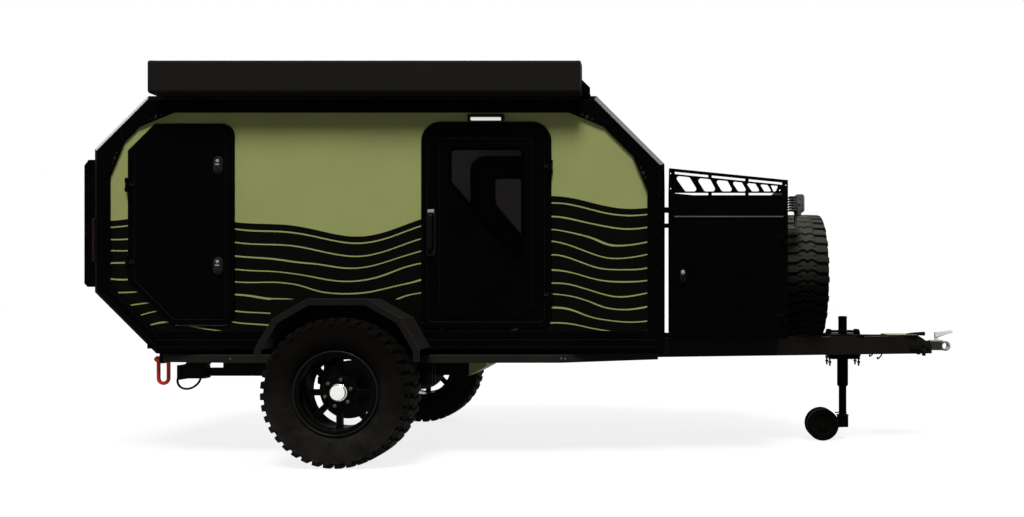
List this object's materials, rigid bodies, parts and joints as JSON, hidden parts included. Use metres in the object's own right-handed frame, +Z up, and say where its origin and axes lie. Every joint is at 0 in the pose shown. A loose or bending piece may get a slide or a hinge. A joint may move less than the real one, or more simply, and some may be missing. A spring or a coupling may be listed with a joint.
{
  "type": "off-road camper trailer",
  "caption": "Hard-sided off-road camper trailer with an angular cabin, folded fenders, side doors, front box with basket and spare wheel, standing on its jockey wheel",
  "frame": {"origin": "Centre of the bounding box in plan, on the ground under the tyres", "axes": "+X forward to the coupler, +Y to the left side, +Z up"},
  "size_m": [5.333, 2.184, 2.296],
  "materials": {
    "chassis_black": "satin powder coat",
    "cabin_black": "satin black paint",
    "olive_paint": "satin olive paint",
    "fender_grey": "textured dark grey coat",
    "rim_black": "satin black paint",
    "zinc": "zinc plated steel",
    "tyre_rubber": "moulded rubber",
    "solid_rubber": "moulded rubber",
    "tank_plastic": "moulded plastic",
    "red_paint": "red paint",
    "floor_board": "coated floor board",
    "bright_aluminium": "brushed aluminium",
    "awning_grey": "matte dark grey coat",
    "lamp_lens": "clear lens",
    "red_lens": "red lens",
    "lamp_housing": "grey coat",
    "tinted_glass": "tinted pane",
    "handle_plastic": "moulded plastic"
  },
  "bodies": {
    "trailer": {"chassis_rails": "chassis_black", "cross_members": "chassis_black", "drawbar": "chassis_black", "coupler_mount": "olive_paint", "jack_post": "chassis_black", "rock_rails": "chassis_black", "tow_lugs": "chassis_black", "fenders": "fender_grey", "trailing_arms": "chassis_black", "hangers": "zinc", "spring_pads": "solid_rubber", "water_tank": "tank_plastic", "stone_guard": "olive_paint", "receiver": "chassis_black", "recovery_shackles": "red_paint", "floor_panel": "floor_board", "side_walls": "olive_paint", "roof_panel": "cabin_black", "front_wall": "cabin_black", "front_slope_panel": "cabin_black", "rear_slope_panel": "cabin_black", "tail_slope_panel": "cabin_black", "rear_wall": "cabin_black", "edge_frames": "cabin_black", "cap_strips": "bright_aluminium", "awning_case": "awning_grey", "awning_brackets": "chassis_black", "porch_lamps": "lamp_lens", "tail_lamps": "red_lens", "front_box": "cabin_black", "basket": "chassis_black", "spare_carrier": "chassis_black", "spare_tyre": "tyre_rubber", "spare_rim": "rim_black", "work_lamps": "lamp_housing", "hinge_leaves": "chassis_black"},
    "wheel_right": {"tyre_right": "tyre_rubber", "rim_right": "rim_black", "hub_right": "zinc"},
    "wheel_left": {"tyre_left": "tyre_rubber", "rim_left": "rim_black", "hub_left": "zinc"},
    "door_right": {"entry_door_right": "cabin_black", "door_glass_right": "tinted_glass", "door_handle_right": "handle_plastic"},
    "door_left": {"entry_door_left": "cabin_black", "door_glass_left": "tinted_glass", "door_handle_left": "handle_plastic"},
    "hatch_right": {"side_hatch_right": "cabin_black", "hatch_latches_right": "handle_plastic"},
    "hatch_left": {"side_hatch_left": "cabin_black", "hatch_latches_left": "handle_plastic"},
    "hatch_rear": {"rear_hatch": "cabin_black"},
    "box_right": {"box_door_right": "cabin_black"},
    "box_left": {"box_door_left": "cabin_black"},
    "jack_slide": {"jack_leg": "zinc"},
    "jack_swivel": {"jack_caster": "chassis_black"},
    "jack_wheels": {"jack_wheel": "solid_rubber"},
    "towing_head": {"coupler_head": "zinc"}
  },
  "joints": [
    {"name": "wheel_right_spin", "type": "hinge", "parent": "trailer", "child": "wheel_right", "pos_m": [-1.0375, -0.9495, 0.415], "axis": [0, 1, 0], "continuous": true},
    {"name": "wheel_left_spin", "type": "hinge", "parent": "trailer", "child": "wheel_left", "pos_m": [-1.0375, 0.9495, 0.415], "axis": [0, 1, 0], "continuous": true},
    {"name": "entry_door_right_swing", "type": "hinge", "parent": "trailer", "child": "door_right", "pos_m": [0.1045, -0.743, 1.364], "axis": [0, 0, 1], "range_deg": [0, 100]},
    {"name": "entry_door_left_swing", "type": "hinge", "parent": "trailer", "child": "door_left", "pos_m": [0.1045, 0.743, 1.364], "axis": [0, 0, -1], "range_deg": [0, 100]},
    {"name": "side_hatch_right_swing", "type": "hinge", "parent": "trailer", "child": "hatch_right", "pos_m": [-2.3665, -0.743, 1.366], "axis": [0, 0, -1], "range_deg": [0, 110]},
    {"name": "side_hatch_left_swing", "type": "hinge", "parent": "trailer", "child": "hatch_left", "pos_m": [-2.3665, 0.743, 1.366], "axis": [0, 0, 1], "range_deg": [0, 110]},
    {"name": "rear_hatch_lift", "type": "hinge", "parent": "trailer", "child": "hatch_rear", "pos_m": [-2.62, 0, 1.764], "axis": [0, 1, 0], "range_deg": [0, 90]},
    {"name": "box_door_right_swing", "type": "hinge", "parent": "trailer", "child": "box_right", "pos_m": [1.4675, -0.704, 1.059], "axis": [0, 0, 1], "range_deg": [0, 105]},
    {"name": "box_door_left_swing", "type": "hinge", "parent": "trailer", "child": "box_left", "pos_m": [1.4675, 0.704, 1.059], "axis": [0, 0, -1], "range_deg": [0, 105]},
    {"name": "jack_leg_lift", "type": "slide", "parent": "trailer", "child": "jack_slide", "axis": [0, 0, 1], "range_m": [0, 0.17]},
    {"name": "jack_caster_swivel", "type": "hinge", "parent": "jack_slide", "child": "jack_swivel", "pos_m": [1.9435, 0, 0.13], "axis": [0, 0, 1], "continuous": true},
    {"name": "jack_wheel_spin", "type": "hinge", "parent": "jack_swivel", "child": "jack_wheels", "pos_m": [1.8045, 0, 0.104], "axis": [0, 1, 0], "continuous": true},
    {"name": "coupler_roll", "type": "hinge", "parent": "trailer", "child": "towing_head", "pos_m": [2.56, 0, 0.618], "axis": [1, 0, 0], "continuous": true}
  ]
}
